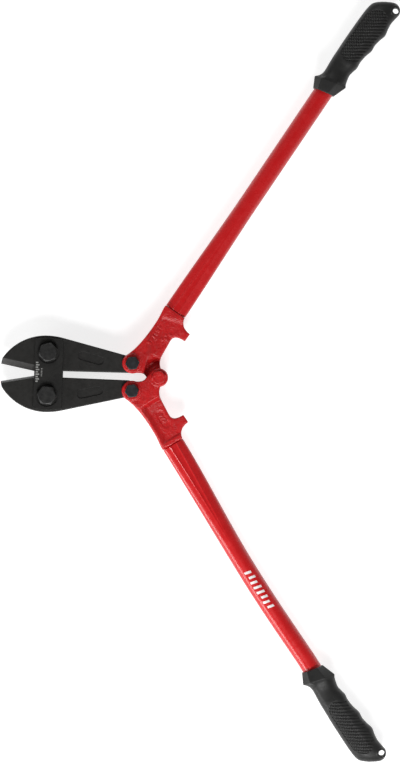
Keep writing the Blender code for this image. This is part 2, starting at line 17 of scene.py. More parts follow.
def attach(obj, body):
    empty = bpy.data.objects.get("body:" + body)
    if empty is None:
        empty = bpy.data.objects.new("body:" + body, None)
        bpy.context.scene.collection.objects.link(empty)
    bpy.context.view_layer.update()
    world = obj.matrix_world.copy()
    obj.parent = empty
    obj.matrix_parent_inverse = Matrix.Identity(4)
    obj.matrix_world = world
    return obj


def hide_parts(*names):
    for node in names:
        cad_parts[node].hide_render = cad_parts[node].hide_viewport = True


MM = 0.001
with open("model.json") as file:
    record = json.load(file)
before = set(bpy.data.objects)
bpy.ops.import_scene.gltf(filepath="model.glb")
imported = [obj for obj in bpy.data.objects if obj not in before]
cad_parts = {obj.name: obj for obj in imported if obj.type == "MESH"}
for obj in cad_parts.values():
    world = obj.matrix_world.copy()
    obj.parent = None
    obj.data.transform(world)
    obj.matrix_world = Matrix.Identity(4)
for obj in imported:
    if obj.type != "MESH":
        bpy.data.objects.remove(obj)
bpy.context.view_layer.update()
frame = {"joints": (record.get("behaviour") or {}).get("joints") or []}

# ---------------------------------------------------------------- dimensions, in millimetres and degrees
GAP = 0.3                           # air between pieces that touch
JAW_BOLT_Y = 22.1                   # jaw bolt to the tool's centre line
LINK_REACH = 86.9                   # jaw bolt to link bolt
FORK_REACH = 30.6                   # fulcrum bolt to link bolt
LINK_ANGLE = 27.55                  # link bolt above the centre line, seen from the fulcrum
HANDLE_UPPER = 57.95                # handles off the tool's X axis
HANDLE_LOWER = -56.25
HANDLE_CLOSED = 1.9                 # handle off the centre line when the stops meet
LINK_TURN = 95.35                   # link bolt from the handle's X axis, round the fulcrum
JAW_OPEN = 10.698                   # jaw, from closed to the photographed pose

JAW_HALF = 6.5                      # "half" is half a thickness
JAW_RIM = 1.2                       # rounding of the jaw's rims
EDGE_TIP, EDGE_ROOT = 45.0, 4.0     # cutting edge, along the closed jaw from its bolt
BEVEL_WIDE, BEVEL_NARROW = 6.4, 2.0
TAIL_HOLE_R = 6.3
TAIL_END_R = 8.4
TAIL_HOLE_SHIFT = (-1.15, 1.40)     # tail hole from the link bolt, which runs in it with play
TAIL_EDGES = (166.8, 180.4)         # directions of the tail's two long edges on the opened tool
PAD_CENTER, PAD_TILT = (43.6, -4.6), -13.5
PAD_R, PAD_REACH, PAD_DEPTH = 4.6, 9.0, 1.2
PLATE_THICK = 4.6
PLATE_RIM = 0.3
COUNTERBORE, COUNTERBORE_R = 0.8, 11.5
COUNTERBORE_EXTRA = 0.3             # cut this much deeper than the CAD's, for a darker ring

FORK_HALF, BOSS_HALF = 12.3, 13.1
EYE_R, EYE_BOSS_R = 10.45, 9.5      # eye: round the link bolt
EAR_R, EAR_BOSS_R = 9.6, 9.35       # ear: round the fulcrum bolt
SLOT_R, SLOT_REACH = 12.8, 34.0
SHANK_HALF, POCKET_HALF = 8.8, 7.2
PIN_HOLE_R = 4.3
SEAM_X = 65.6                       # the casting ends here and the tube starts

TUBE_OFFSET = 23.7                  # tube's axis to the line through the fulcrum
TUBE_R, TUBE_SIDES = 9.75, 116
SWAGE_WIDE, SWAGE_THIN, SWAGE_END = 11.65, 6.8, 205.0
CREASE_OFF, CREASE_WIDE, CREASE_HIGH = 3.7, 0.65, 0.65
LOWER_BOW, BOW_END = 3.2, 330.0     # the lower tube is bent outwards by this much, up to its grip
TUBE_SHOWN = 359.0                  # the rest of the tube is out of sight in the grip
GRIP_START, GRIP_END = 334.4, 453.9
HANG_X, HANG_Y, HANG_R = 446.9, -15.0, 3.1

BOLT_END = -22.0                    # all bolts end level
M12 = {"shank": 6.0, "bore": 6.3, "hex": 10.15, "head": 7.5, "nut_hex": 10.4, "washer": 11.1, "washer_thick": 1.6,
       "nut_off": 0.6, "nut_turn": 20.0}
M8 = {"shank": 4.0, "bore": 4.3, "hex": 7.4, "head": 5.5, "nut_hex": 7.5, "washer": 8.0, "washer_thick": 1.4,
      "nut_off": 0.4, "nut_turn": 10.0}
HEX_SIDES = 96                      # points round a hexagon or a round part of it
CHAMFER = math.tan(math.radians(30.0))
CRISP = 35.0                        # an edge of a fastener this many degrees or more stays crisp

CAST_GRID = 0.55                    # sampling step of the castings
GRIP_GRID = 0.38                    # and of the grips
GRIP_INSET = 0.25                   # keeps the rounded rubber inside the CAD grip

MM_PER_PIXEL = 1.025                # of the photograph
PHOTO_HIGH = 763
CAMERA_HIGH = 5.0                   # metres
CAMERA_ROLL = 1.94
AIM_RIGHT, AIM_DOWN = 41.2, 3.9     # view centre from the fulcrum, in pixels
# Softboxes: azimuth and elevation in degrees, distance, width and height in metres, watts.
LIGHTS = {
    "key_below": (274.0, 50.0, 2.2, 0.9, 0.7, 40.0),
    "left_box": (220.0, 15.0, 2.4, 1.8, 0.8, 36.0),
    "fill_above": (95.0, 45.0, 2.4, 1.0, 0.8, 9.0),
}
TENT = ((0.0, 0.50), (0.45, 0.24), (1.0, 0.03))     # sine of the elevation, brightness
FLOOR_REACH, FLOOR_DROP = 6.0, 0.0002               # metres
FLOOR_GLOW = 0.74

LINK = (FORK_REACH * math.cos(math.radians(LINK_TURN)), FORK_REACH * math.sin(math.radians(LINK_TURN)))
LEAN = math.asin((FORK_REACH * math.sin(math.radians(LINK_ANGLE)) - JAW_BOLT_Y) / LINK_REACH)
TAIL_HOLE = (LINK_REACH * math.cos(LEAN) + TAIL_HOLE_SHIFT[0], LINK_REACH * math.sin(LEAN) + TAIL_HOLE_SHIFT[1])
EDGE_Y = GAP / 2.0 - JAW_BOLT_Y     # cutting edge of the closed jaw

hinge = {joint["name"]: joint for joint in frame["joints"]}
UPPER_BOLT = Vector(hinge["upper_jaw_hinge"]["pos_m"])
LOWER_BOLT = Vector(hinge["lower_jaw_hinge"]["pos_m"])
FULCRUM = Vector(hinge["upper_handle_hinge"]["pos_m"])
TURNED_OVER = Matrix.Rotation(math.pi, 4, "X")


def at(place, angle=0.0):
    return Matrix.Translation(place) @ Matrix.Rotation(math.radians(angle), 4, "Z")


SPOT = {
    "head": at((UPPER_BOLT + LOWER_BOLT) / 2.0),
    "upper_jaw": at(UPPER_BOLT),
    "lower_jaw": at(LOWER_BOLT) @ TURNED_OVER,
    "fulcrum": at(FULCRUM),
    "upper_handle": at(FULCRUM, HANDLE_UPPER),
    "lower_handle": at(FULCRUM, HANDLE_LOWER) @ TURNED_OVER,
}


# ---------------------------------------------------------------- materials

class Paint:
    """A node material in the making."""

    def __init__(self, name, roughness, metallic=0.0, specular=0.5):
        self.mat = bpy.data.materials.new(name)
        self.mat.use_nodes = True
        self.tree = self.mat.node_tree
        self.shader = self.tree.nodes["Principled BSDF"]
        self.shader.inputs["Roughness"].default_value = roughness
        self.shader.inputs["Metallic"].default_value = metallic
        self.shader.inputs["Specular IOR Level"].default_value = specular
        self.spot = self.node("ShaderNodeTexCoord").outputs["Object"]
        self.normal = None

    def node(self, kind, **values):
        made = self.tree.nodes.new(kind)
        for name, value in values.items():
            if name in made.inputs:
                made.inputs[name].default_value = value
            else:
                setattr(made, name, value)
        return made

    def wire(self, source, target):
        self.tree.links.new(source, target)

    def noise(self, size, detail=3.0, roughness=0.55, stretch=None, turn=0.0):
        """Noise whose blobs are about this many metres across."""
        made = self.node("ShaderNodeTexNoise", Scale=1.0 / size, Detail=detail, Roughness=roughness)
        spot = self.spot
        if stretch:
            mapping = self.node("ShaderNodeMapping", Scale=stretch, Rotation=(0.0, 0.0, turn))
            self.wire(spot, mapping.inputs["Vector"])
            spot = mapping.outputs["Vector"]
        self.wire(spot, made.inputs["Vector"])
        return made.outputs["Fac"]

    def remap(self, value, low, high, out_low, out_high):
        made = self.node("ShaderNodeMapRange", **{"From Min": low, "From Max": high,
                                                  "To Min": out_low, "To Max": out_high})
        self.wire(value, made.inputs["Value"])
        return made.outputs["Result"]

    def blend(self, factor, first, second):
        """Colour between two, each given as a colour or as a socket."""
        made = self.node("ShaderNodeMix", data_type="RGBA")
        self.wire(factor, made.inputs["Factor"])
        slots = [s for s in made.inputs if s.type == "RGBA"]
        for socket, colour in zip(slots, (first, second)):
            if isinstance(colour, bpy.types.NodeSocket):
                self.wire(colour, socket)
            else:
                socket.default_value = (*colour, 1.0)
        return [s for s in made.outputs if s.type == "RGBA"][0]

    def mottle(self, size, detail):
        """Soft patches from 0 to 1."""
        return self.remap(self.noise(size, detail), 0.35, 0.68, 0.0, 1.0)

    def edges(self, low, high, at_low=0.0, at_high=1.0):
        """Value by how far the surface stands out: 0.5 is flat, less is hollow, more is an outer edge."""
        pointiness = self.node("ShaderNodeNewGeometry").outputs["Pointiness"]
        return self.remap(pointiness, low, high, at_low, at_high)

    def colour(self, socket):
        self.wire(socket, self.shader.inputs["Base Color"])

    def rough(self, noise, smoothest, roughest):
        self.wire(self.remap(noise, 0.3, 0.7, smoothest, roughest), self.shader.inputs["Roughness"])

    def bump(self, height, distance):
        """Adds relief of this many metres to what is there."""
        made = self.node("ShaderNodeBump", Strength=1.0, Distance=distance)
        self.wire(height, made.inputs["Height"])
        if self.normal is not None:
            self.wire(self.normal, made.inputs["Normal"])
        self.normal = made.outputs["Normal"]
        self.wire(self.normal, self.shader.inputs["Normal"])


def forged_black(name, dark, light, worn, roughness, grain):
    """Blacked steel: mottled, with small worn specks and a grain."""
    paint = Paint(name, roughness, 0.0, 0.32)
    mottle = paint.mottle(0.009, 5.0)
    speck = paint.remap(paint.noise(0.0012, 4.0, 0.7), 0.62, 0.72, 0.0, 1.0)
    paint.colour(paint.blend(speck, paint.blend(mottle, dark, light), worn))
    paint.rough(paint.noise(0.003, 4.0), roughness - 0.07, roughness + 0.10)
    paint.bump(paint.noise(0.0035, 4.0), 0.00012)
    paint.bump(paint.noise(grain, 2.0, 0.7), 0.00004)
    return paint.mat


def ground_steel():
    """Bevels ground through the black, with lines that run square to the edge, then oiled dark."""
    paint = Paint("ground_steel", 0.42, 0.0, 0.5)
    lines = paint.noise(0.0011, 3.0, 0.6, stretch=(5.0, 0.35, 0.35), turn=math.radians(-10.0))
    share = paint.remap(lines, 0.3, 0.7, 0.0, 1.0)
    paint.colour(paint.blend(share, (0.022, 0.0215, 0.0205), (0.037, 0.036, 0.0345)))
    paint.rough(lines, 0.34, 0.52)
    paint.bump(lines, 0.00005)
    return paint.mat


def cast_red():
    """Gloss paint over a rough casting, with painted shade that darkens it in the hollows."""
    paint = Paint("cast_red_paint", 0.38, 0.0, 0.42)
    base = paint.blend(paint.mottle(0.006, 5.0), (0.420, 0.0055, 0.0068), (0.530, 0.0090, 0.0105))
    # painted shade: the red goes towards a deep red in the casting's hollows, where shade falls
    hollow = paint.edges(0.40, 0.49, 0.55, 0.0)
    paint.colour(paint.blend(hollow, base, (0.200, 0.0040, 0.0060)))
    paint.rough(paint.noise(0.002, 4.0), 0.26, 0.42)
    paint.bump(paint.noise(0.0042, 4.0, 0.6), 0.0004)
    paint.bump(paint.noise(0.0013, 3.0, 0.65), 0.00036)
    return paint.mat


def tube_red():
    """Gloss paint over smooth drawn tube."""
    paint = Paint("tube_red_paint", 0.30, 0.0, 0.5)
    paint.colour(paint.blend(paint.mottle(0.012, 4.0), (0.490, 0.0095, 0.0110), (0.530, 0.0112, 0.0130)))
    paint.rough(paint.noise(0.006, 3.0), 0.22, 0.32)
    paint.bump(paint.noise(0.0060, 2.0, 0.4), 0.00004)
    return paint.mat


def bolt_black(name, tint):
    """Black oxide, rubbed to bare steel on the edges."""
    paint = Paint(name, 0.40, 0.0, 0.40)
    dark, light = [tuple(share * c for c in tint) for share in (0.60, 1.45)]
    base = paint.blend(paint.mottle(0.0035, 4.0), dark, light)
    paint.colour(paint.blend(paint.edges(0.53, 0.62), base, (0.090, 0.090, 0.092)))
    paint.rough(paint.noise(0.0015, 4.0), 0.32, 0.52)
    paint.bump(paint.noise(0.0011, 3.0), 0.00006)
    return paint.mat


def rubber():
    """Moulded rubber, with a painted sheen that turns it greyer along its edges."""
    paint = Paint("moulded_rubber", 0.48, 0.0, 0.24)
    base = paint.blend(paint.mottle(0.010, 4.0), (0.0150, 0.0150, 0.0146), (0.0195, 0.0195, 0.0190))
    # painted sheen: the rounded edges are lightened to grey, as where light catches them
    paint.colour(paint.blend(paint.edges(0.53, 0.64), base, (0.036, 0.036, 0.035)))
    paint.rough(paint.noise(0.0020, 4.0), 0.38, 0.54)
    paint.bump(paint.noise(0.0007, 2.0, 0.6), 0.00005)
    return paint.mat


def printed(name, colour, roughness):
    """Screen-printed ink, a little patchy."""
    paint = Paint(name, roughness, 0.0, 0.4)
    patch = paint.remap(paint.noise(0.0016, 4.0), 0.34, 0.62, 0.0, 1.0)
    paint.colour(paint.blend(patch, tuple(0.78 * c for c in colour), colour))
    paint.bump(paint.noise(0.0012, 2.0), 0.00003)
    return paint.mat


JAW_BLACK = forged_black("jaw_black", (0.0090, 0.0086, 0.0077), (0.0140, 0.0134, 0.0122),
                         (0.0300, 0.0292, 0.0275), 0.50, 0.0009)
PLATE_BLACK = forged_black("plate_black", (0.0060, 0.0058, 0.0051), (0.0092, 0.0089, 0.0080),
                           (0.0240, 0.0235, 0.0222), 0.52, 0.0006)
GROUND = ground_steel()
CAST_RED = cast_red()
TUBE_RED = tube_red()
HEX_BLACK = bolt_black("jaw_bolt_black", (0.0140, 0.0140, 0.0136))
LINK_BLACK = bolt_black("link_bolt_black", (0.0135, 0.0150, 0.0172))
RUBBER = rubber()
WHITE_INK = printed("white_ink", (0.82, 0.80, 0.79), 0.45)
GREY_INK = printed("grey_ink", (0.30, 0.30, 0.29), 0.50)


# ---------------------------------------------------------------- meshes

def added(name, data):
    """A new object of the scene."""
    data.name = name
    obj = bpy.data.objects.new(name, data)
    bpy.context.scene.collection.objects.link(obj)
    return obj


def evaluated(obj):
    """Mesh of the object with its modifiers applied."""
    graph = bpy.context.evaluated_depsgraph_get()
    return bpy.data.meshes.new_from_object(obj.evaluated_get(graph))


def piece(name, mesh, body, node, mat, sharp=None):
    """Puts a millimetre mesh of a body's frame in place and hides the CAD part that it stands for.  Without mat it
    keeps the materials it has.  With sharp, its big faces stay flat and edges over that angle crisp."""
    mesh.transform(SPOT[body] @ Matrix.Scale(MM, 4))
    obj = added(name, mesh)
    if mat is not None:
        mesh.materials.clear()
        mesh.materials.append(mat)
    mesh.shade_smooth()
    if sharp is not None:
        mesh.set_sharp_from_angle(angle=math.radians(sharp))
        weigh = obj.modifiers.new("weigh", "WEIGHTED_NORMAL")
        weigh.mode = "FACE_AREA"
        weigh.weight = 100
        weigh.keep_sharp = True
        flat = evaluated(obj)
        obj.modifiers.clear()
        obj.data = flat
        flat.name = name
    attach(obj, body)
    if node:
        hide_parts(node)
    return obj


def mesh_of(verts, faces):
    mesh = bpy.data.meshes.new("shape")
    mesh.from_pydata([tuple(v) for v in verts], [], faces)
    return mesh


def loft(rings, close_ring=False):
    """Skin over rings of equal count, capped at both ends, or run round to the first ring."""
    count = len(rings[0])
    verts = np.concatenate([np.asarray(ring, float) for ring in rings])
    faces = []
    pairs = list(zip(range(len(rings)), range(1, len(rings))))
    if close_ring:
        pairs.append((len(rings) - 1, 0))
    for near, far in pairs:
        for i in range(count):
            j = (i + 1) % count
            faces.append((near * count + i, near * count + j, far * count + j, far * count + i))
    if not close_ring:
        faces.append(tuple(reversed(range(count))))
        faces.append(tuple(range((len(rings) - 1) * count, len(rings) * count)))
    mesh = mesh_of(verts, faces)
    shape = bmesh.new()
    shape.from_mesh(mesh)
    bmesh.ops.recalc_face_normals(shape, faces=shape.faces)
    shape.to_mesh(mesh)
    shape.free()
    return mesh


def arc(center, radius, start, stop, steps):
    turn = np.radians(np.linspace(start, stop, steps + 1))
    return [(center[0] + radius * math.cos(a), center[1] + radius * math.sin(a)) for a in turn]


def arc_through(first, middle, last, steps):
    """Circular arc from first to last by way of middle."""
    (ax, ay), (bx, by), (cx, cy) = first, middle, last
    twice = 2.0 * (ax * (by - cy) + bx * (cy - ay) + cx * (ay - by))
    aa, bb, cc = ax * ax + ay * ay, bx * bx + by * by, cx * cx + cy * cy
    x = (aa * (by - cy) + bb * (cy - ay) + cc * (ay - by)) / twice
    y = (aa * (cx - bx) + bb * (ax - cx) + cc * (bx - ax)) / twice
    begin = math.degrees(math.atan2(ay - y, ax - x))
    finish = math.degrees(math.atan2(cy - y, cx - x))
    passing = math.degrees(math.atan2(by - y, bx - x))
    clockwise = (passing - begin) % 360.0 > (finish - begin) % 360.0
    sweep = -((begin - finish) % 360.0) if clockwise else (finish - begin) % 360.0
    return arc((x, y), math.hypot(ax - x, ay - y), begin, begin + sweep, steps)


def through(points, steps=5):
    """Smooth curve through the points."""
    p = [2 * np.array(points[0], float) - np.array(points[1], float)]
    p += [np.array(q, float) for q in points]
    p.append(2 * p[-1] - p[-2])
    out = [tuple(p[1])]
    for a, b, c, d in zip(p, p[1:], p[2:], p[3:]):
        for k in range(1, steps + 1):
            t = k / steps
            out.append(tuple(0.5 * (2 * b + (c - a) * t + (2 * a - 5 * b + 4 * c - d) * t * t
                                    + (3 * b - a - 3 * c + d) * t ** 3)))
    return out


def slab(outline, low, high, edge, rounds=3):
    """A flat outline given thickness, with rims rounded by edge."""
    curve = bpy.data.curves.new("outline", "CURVE")
    curve.dimensions = "2D"
    curve.fill_mode = "BOTH"
    curve.extrude = (high - low) / 2.0 - edge
    curve.bevel_depth = edge
    curve.bevel_resolution = rounds
    curve.offset = -edge
    spline = curve.splines.new("POLY")
    spline.points.add(len(outline) - 1)
    for point, place in zip(spline.points, outline):
        point.co = (place[0], place[1], 0.0, 1.0)
    spline.use_cyclic_u = True
    guide = added("guide", curve)
    mesh = evaluated(guide)
    bpy.data.objects.remove(guide, do_unlink=True)
    bpy.data.curves.remove(curve)
    shape = bmesh.new()
    shape.from_mesh(mesh)
    bmesh.ops.remove_doubles(shape, verts=shape.verts, dist=1e-3)
    bmesh.ops.recalc_face_normals(shape, faces=shape.faces)
    bmesh.ops.translate(shape, verts=shape.verts, vec=(0.0, 0.0, (low + high) / 2.0))
    shape.to_mesh(mesh)
    shape.free()
    mesh.materials.clear()
    return mesh


def hull(points):
    """Smallest convex solid over the points."""
    shape = bmesh.new()
    for place in points:
        shape.verts.new(place)
    bmesh.ops.convex_hull(shape, input=shape.verts)
    bmesh.ops.recalc_face_normals(shape, faces=shape.faces)
    mesh = bpy.data.meshes.new("hull")
    shape.to_mesh(mesh)
    shape.free()
    return mesh


def drum(radius, low, high, spot=(0.0, 0.0), sides=72):
    round_edge = arc((0.0, 0.0), radius, 0.0, 360.0, sides)[:-1]
    return loft([[(spot[0] + x, spot[1] + y, z) for x, y in round_edge] for z in (low, high)])


def carved(mesh, cutters, rim=0.0):
    """Takes the cutters off the mesh, then softens its sharp edges by rim.  The faces a cutter leaves have
    the cutter's material."""
    obj = added("blank", mesh)
    helpers = []
    for operand in cutters:
        tool = added("cut", operand)
        helpers.append(tool)
        mod = obj.modifiers.new("cut", "BOOLEAN")
        mod.solver = "EXACT"
        mod.operation = "DIFFERENCE"
        mod.material_mode = "TRANSFER"
        mod.object = tool
    if rim:
        soft = obj.modifiers.new("rim", "BEVEL")
        soft.width = rim
        soft.segments = 2
        soft.limit_method = "ANGLE"
        soft.angle_limit = math.radians(32.0)
        soft.miter_outer = "MITER_ARC"
    made = evaluated(obj)
    for helper in [obj, *helpers]:
        bpy.data.objects.remove(helper, do_unlink=True)
    return made


# ---------------------------------------------------------------- solids sampled on a grid

def outline_distance(x, y, outline):
    """Distance to a closed outline in the plane, negative inside."""
    shape = x.shape
    px, py = x.ravel(), y.ravel()
    nearest = np.full(px.shape, 1e12)
    sign = np.ones(px.shape)
    for (ax, ay), (bx, by) in zip(outline, outline[1:] + outline[:1]):
        ex, ey = bx - ax, by - ay
        length = ex * ex + ey * ey
        if length < 1e-12:
            continue
        t = np.clip(((px - ax) * ex + (py - ay) * ey) / length, 0.0, 1.0)
        nearest = np.minimum(nearest, (px - ax - t * ex) ** 2 + (py - ay - t * ey) ** 2)
        if ay != by:
            crossing = ((ay > py) != (by > py)) & (px < ex * (py - ay) / ey + ax)
            sign[crossing] *= -1.0
    return (sign * np.sqrt(nearest)).reshape(shape)


def ease(low, high, value):
    """0 below low, 1 above high and smooth between."""
    t = np.clip((value - low) / (high - low), 0.0, 1.0)
    return t * t * (3.0 - 2.0 * t)


def both(a, b, soft):
    """Intersection of two solids with a rounded outer edge."""
    inner = np.minimum(np.maximum(a + soft, b + soft), 0.0)
    return inner + np.hypot(np.maximum(a + soft, 0.0), np.maximum(b + soft, 0.0)) - soft


def without(a, b, soft):
    """Solid a less solid b, with the edge between them rounded."""
    return both(a, -b, soft)


def skin(field, origin, step, rounds=3):
    """Quads on the zero level of a sampled solid, one corner in each cell that the surface crosses, then
    smoothed this many rounds without shrinking."""
    inside = field < 0.0
    size = np.array(field.shape) - 1
    corners = [(i, j, k) for i in (0, 1) for j in (0, 1) for k in (0, 1)]
    filled = np.zeros(size, np.int8)
    for i, j, k in corners:
        filled += inside[i:i + size[0], j:j + size[1], k:k + size[2]]
    active = (filled > 0) & (filled < 8)
    number = np.full(size, -1)
    cells = np.argwhere(active)
    number[active] = np.arange(len(cells))
    total = np.zeros((len(cells), 3))
    hits = np.zeros(len(cells))
    for a in corners:
        for axis in range(3):
            if a[axis]:
                continue
            b = list(a)
            b[axis] = 1
            fa = field[tuple((cells + a).T)]
            fb = field[tuple((cells + b).T)]
            crossed = (fa < 0.0) != (fb < 0.0)
            t = fa[crossed] / (fa[crossed] - fb[crossed])
            place = np.tile(np.array(a, float), (len(t), 1))
            place[:, axis] += t
            total[crossed] += place
            hits[crossed] += 1
    verts = np.array(origin) + step * (cells + total / hits[:, None])
    quads = []
    for axis in range(3):
        u, v = (axis + 1) % 3, (axis + 2) % 3
        first = [slice(None)] * 3
        second = [slice(None)] * 3
        first[axis], second[axis] = slice(0, -1), slice(1, None)
        start, stop = inside[tuple(first)], inside[tuple(second)]
        for flipped, mask in ((False, start & ~stop), (True, ~start & stop)):
            spots = np.argwhere(mask)
            spots = spots[(spots[:, u] > 0) & (spots[:, v] > 0)
                          & (spots[:, u] < size[u]) & (spots[:, v] < size[v])]
            ring = []
            for du, dv in ((-1, -1), (0, -1), (0, 0), (-1, 0)):
                cell = spots.copy()
                cell[:, u] += du
                cell[:, v] += dv
                ring.append(number[tuple(cell.T)])
            quad = np.stack(ring, 1)
            quads.append(quad[:, ::-1] if flipped else quad)
    quads = np.concatenate(quads)
    pairs = np.unique(np.sort(np.concatenate([quads[:, [i, (i + 1) % 4]] for i in range(4)]), axis=1), axis=0)
    degree = np.bincount(pairs.ravel(), minlength=len(verts)).astype(float)
    for _ in range(rounds):
        for factor in (0.5, -0.52):
            mean = np.stack([np.bincount(pairs[:, 0], verts[pairs[:, 1], n], len(verts))
                             + np.bincount(pairs[:, 1], verts[pairs[:, 0], n], len(verts))
                             for n in range(3)], 1) / degree[:, None]
            verts = verts + factor * (mean - verts)
    return mesh_of(verts, quads.tolist())


def grid(low, high, step):
    """Coordinates of the sampling points in a box."""
    axes = [np.arange(a, b + step, step) for a, b in zip(low, high)]
    return np.meshgrid(*axes, indexing="ij")


# ---------------------------------------------------------------- castings

def casting_outline():
    points = arc((0.0, 0.0), EAR_R, 163.0, 383.0, 44)
    points += through([(9.9, 4.7), (11.6, 6.4), (13.8, 7.8), (16.6, 9.0), (20.5, 9.8), (30.8, 10.6), (38.2, 11.1),
                       (41.2, 10.6), (43.4, 8.9), (44.8, 6.2), (45.5, 2.6), (45.7, -1.35)])
    points += through([(54.6, -1.62), (55.3, 2.6), (57.0, 6.9), (60.0, 10.0), (63.0, 11.6), (65.6, 12.1)])
    points += through([(65.6, 35.5), (61.5, 35.6), (51.0, 34.3), (41.0, 34.0), (31.0, 34.3), (20.5, 35.2),
                       (10.5, 36.9)])
    points += arc(LINK, EYE_R, 58.0, 234.0, 40)
    points += through([(-7.2, 19.2), (-6.0, 16.4), (-5.8, 13.6), (-6.6, 11.2)])
    return points


def slot_outline():
    """Fork slot: cleared round the link bolt and out towards the jaw's tail, from opened to closed."""
    spare = 1.0
    first = TAIL_EDGES[0] - HANDLE_UPPER - spare
    last = TAIL_EDGES[1] + JAW_OPEN - HANDLE_CLOSED + spare
    behind = arc(LINK, SLOT_R, last + 90.0 - 360.0, first - 90.0, 40)
    corners = []
    for start, angle in ((behind[-1], first), (LINK, (first + last) / 2.0), (behind[0], last)):
        turn = math.radians(angle)
        corners.append((start[0] + SLOT_REACH * math.cos(turn), start[1] + SLOT_REACH * math.sin(turn)))
    return behind + corners


def bar(x, y, low, high, soft):
    """1 inside a box of the plane, fading over soft outside it."""
    reach = np.maximum(np.maximum(low[0] - x, x - high[0]), np.maximum(low[1] - y, y - high[1]))
    return 1.0 - ease(0.0, soft, reach)


def casting_mesh():
    """Fork, ear, shank and stop horn.  Front is +Z.  The ear is cut away on the front.

    front and rear are the faces' heights over the middle plane, painted over the outline step by step.
    """
    low, high = (-15.5, -12.0, -14.5), (72.0, 43.0, 14.5)
    x, y, z = grid(low, high, CAST_GRID)
    px, py = x[:, :, 0], y[:, :, 0]
    flat = outline_distance(px, py, casting_outline())
    shank = SHANK_HALF - 0.7 * np.clip((px - 20.5) / 49.5, 0.0, 1.0)
    rim = FORK_HALF + (shank - FORK_HALF) * ease(12.0, 38.0, px)
    rim_front = 1.0 - (1.0 - ease(54.3, 60.6, px + 0.35 * (py - 20.0))) * (1.0 - ease(29.8, 32.4, py))
    rim_rear = 1.0 - (1.0 - ease(58.8, 61.4, px)) * (1.0 - ease(26.3, 33.0, py))
    from_eye = np.hypot(px - LINK[0], py - LINK[1])
    from_fulcrum = np.hypot(px, py)

    ramp = FORK_HALF + (POCKET_HALF - FORK_HALF) * ease(15.6, 20.7, px)
    ramp -= 0.8 * ease(20.0, 30.0, px)
    rear = ramp + (rim - ramp) * rim_rear
    rear += 0.4 * bar(px, py, (16.4, 23.4), (20.6, 25.2), 0.7)
    rear += (BOSS_HALF - rear) * (1.0 - ease(EYE_BOSS_R - 0.3, EYE_BOSS_R + 0.3, from_eye))
    rear += (BOSS_HALF - rear) * (1.0 - ease(EAR_BOSS_R - 0.35, EAR_BOSS_R + 0.25, from_fulcrum))
    stadium = np.hypot(np.maximum(np.abs(px - 38.5) - 6.0, 0.0), py - 18.8)
    rear -= 0.4 * (1.0 - ease(3.2, 4.4, stadium))
    for start in (33.6, 36.9, 40.2):
        rear += 0.35 * bar(px + 0.35 * (py - 18.8), py, (start, 16.9), (start + 1.5, 20.6), 0.5)

    floor = -GAP / 2.0 + (POCKET_HALF + GAP / 2.0) * ease(12.0, 21.0, 0.35 * from_fulcrum + 0.65 * px + 1.3)
    floor -= 0.9 * ease(10.6, 12.2, from_fulcrum) * (1.0 - ease(4.0, 11.0, px)) * ease(7.0, 11.0, py)
    front = floor + (rim - floor) * rim_front * ease(10.0, 26.0, px)
    crest = through([(-12.0, 15.9), (-4.1, 16.1), (1.1, 17.6), (4.5, 19.4), (8.0, 21.8), (11.0, 23.9),
                     (15.0, 26.6), (19.3, 29.4), (25.0, 32.8), (33.0, 37.5)], 4)
    beyond = -outline_distance(px, py, crest + [(33.0, 60.0), (-30.0, 60.0), (-30.0, 15.9)])
    width = 1.5 + 7.5 * ease(2.0, 13.0, px)
    front = front + (FORK_HALF - front) * (1.0 - ease(0.0, 1.0, -beyond / width))
    front += (BOSS_HALF - front) * (1.0 - ease(EYE_BOSS_R - 0.3, EYE_BOSS_R + 0.3, from_eye))
    for start, end, tall in ((24.0, 25.4, 0.9), (27.1, 29.6, 0.8), (31.4, 32.6, 0.8), (35.0, 36.4, 0.4),
                             (38.4, 40.4, 0.35), (43.0, 44.4, 0.3)):
        front += tall * bar(px, py, (start, 26.2), (end, 29.4), 0.9)
    for start, base in ((33.4, 18.2), (36.2, 15.2), (39.4, 17.4), (42.4, 13.6)):
        front += 0.45 * bar(px, py, (start, base), (start + 1.1, base + 2.2), 0.9)

    hump = 0.055 * (np.sin(px * 0.83 + 1.3 * np.sin(py * 0.61)) * np.sin(py * 0.74 + 1.1 * np.sin(px * 0.47)))
    hump += 0.035 * (np.sin(px * 1.93 + 1.7 * np.sin(py * 1.13)) * np.sin(py * 2.11 + 1.3 * np.sin(px * 0.97)))
    front = front + hump * ease(9.0, 14.0, px) * (1.0 - ease(60.0, 64.0, px))
    rear = rear + hump[::-1] * 0.6 * ease(20.0, 24.0, px) * (1.0 - ease(60.0, 64.0, px))

    def slope(height):
        gx, gy = np.gradient(height, CAST_GRID)
        return np.minimum(np.sqrt(1.0 + gx * gx + gy * gy), 3.0)

    above = (z - front[:, :, None]) / slope(front)[:, :, None]
    below = (-z - rear[:, :, None]) / slope(rear)[:, :, None]
    round_edge = 1.5 + 1.6 * (ease(26.0, 31.0, py) * ease(6.0, 16.0, px))[:, :, None] * (z < 0.0)
    body = both(np.broadcast_to(flat[:, :, None], z.shape), np.maximum(above, below), round_edge)
    fork = np.maximum(outline_distance(px, py, slot_outline())[:, :, None], np.abs(z) - JAW_HALF - GAP)
    body = without(body, fork, 0.5)
    holes = np.minimum(from_eye, from_fulcrum) - PIN_HOLE_R
    body = without(body, np.broadcast_to(holes[:, :, None], z.shape), 0.3)
    body = both(body, x - SEAM_X, 0.5)
    across = np.abs(y - TUBE_OFFSET)
    spigot = np.maximum(np.maximum(across - 8.8, np.abs(z) - 4.3), np.abs(x - 65.0) - 5.4)
    step = np.maximum(np.maximum(across - 10.9, np.abs(z) - 5.9), np.abs(x - 64.0) - 1.75)
    body = np.minimum(body, np.minimum(spigot, step))
    return skin(body, low, CAST_GRID)


# ---------------------------------------------------------------- tubes

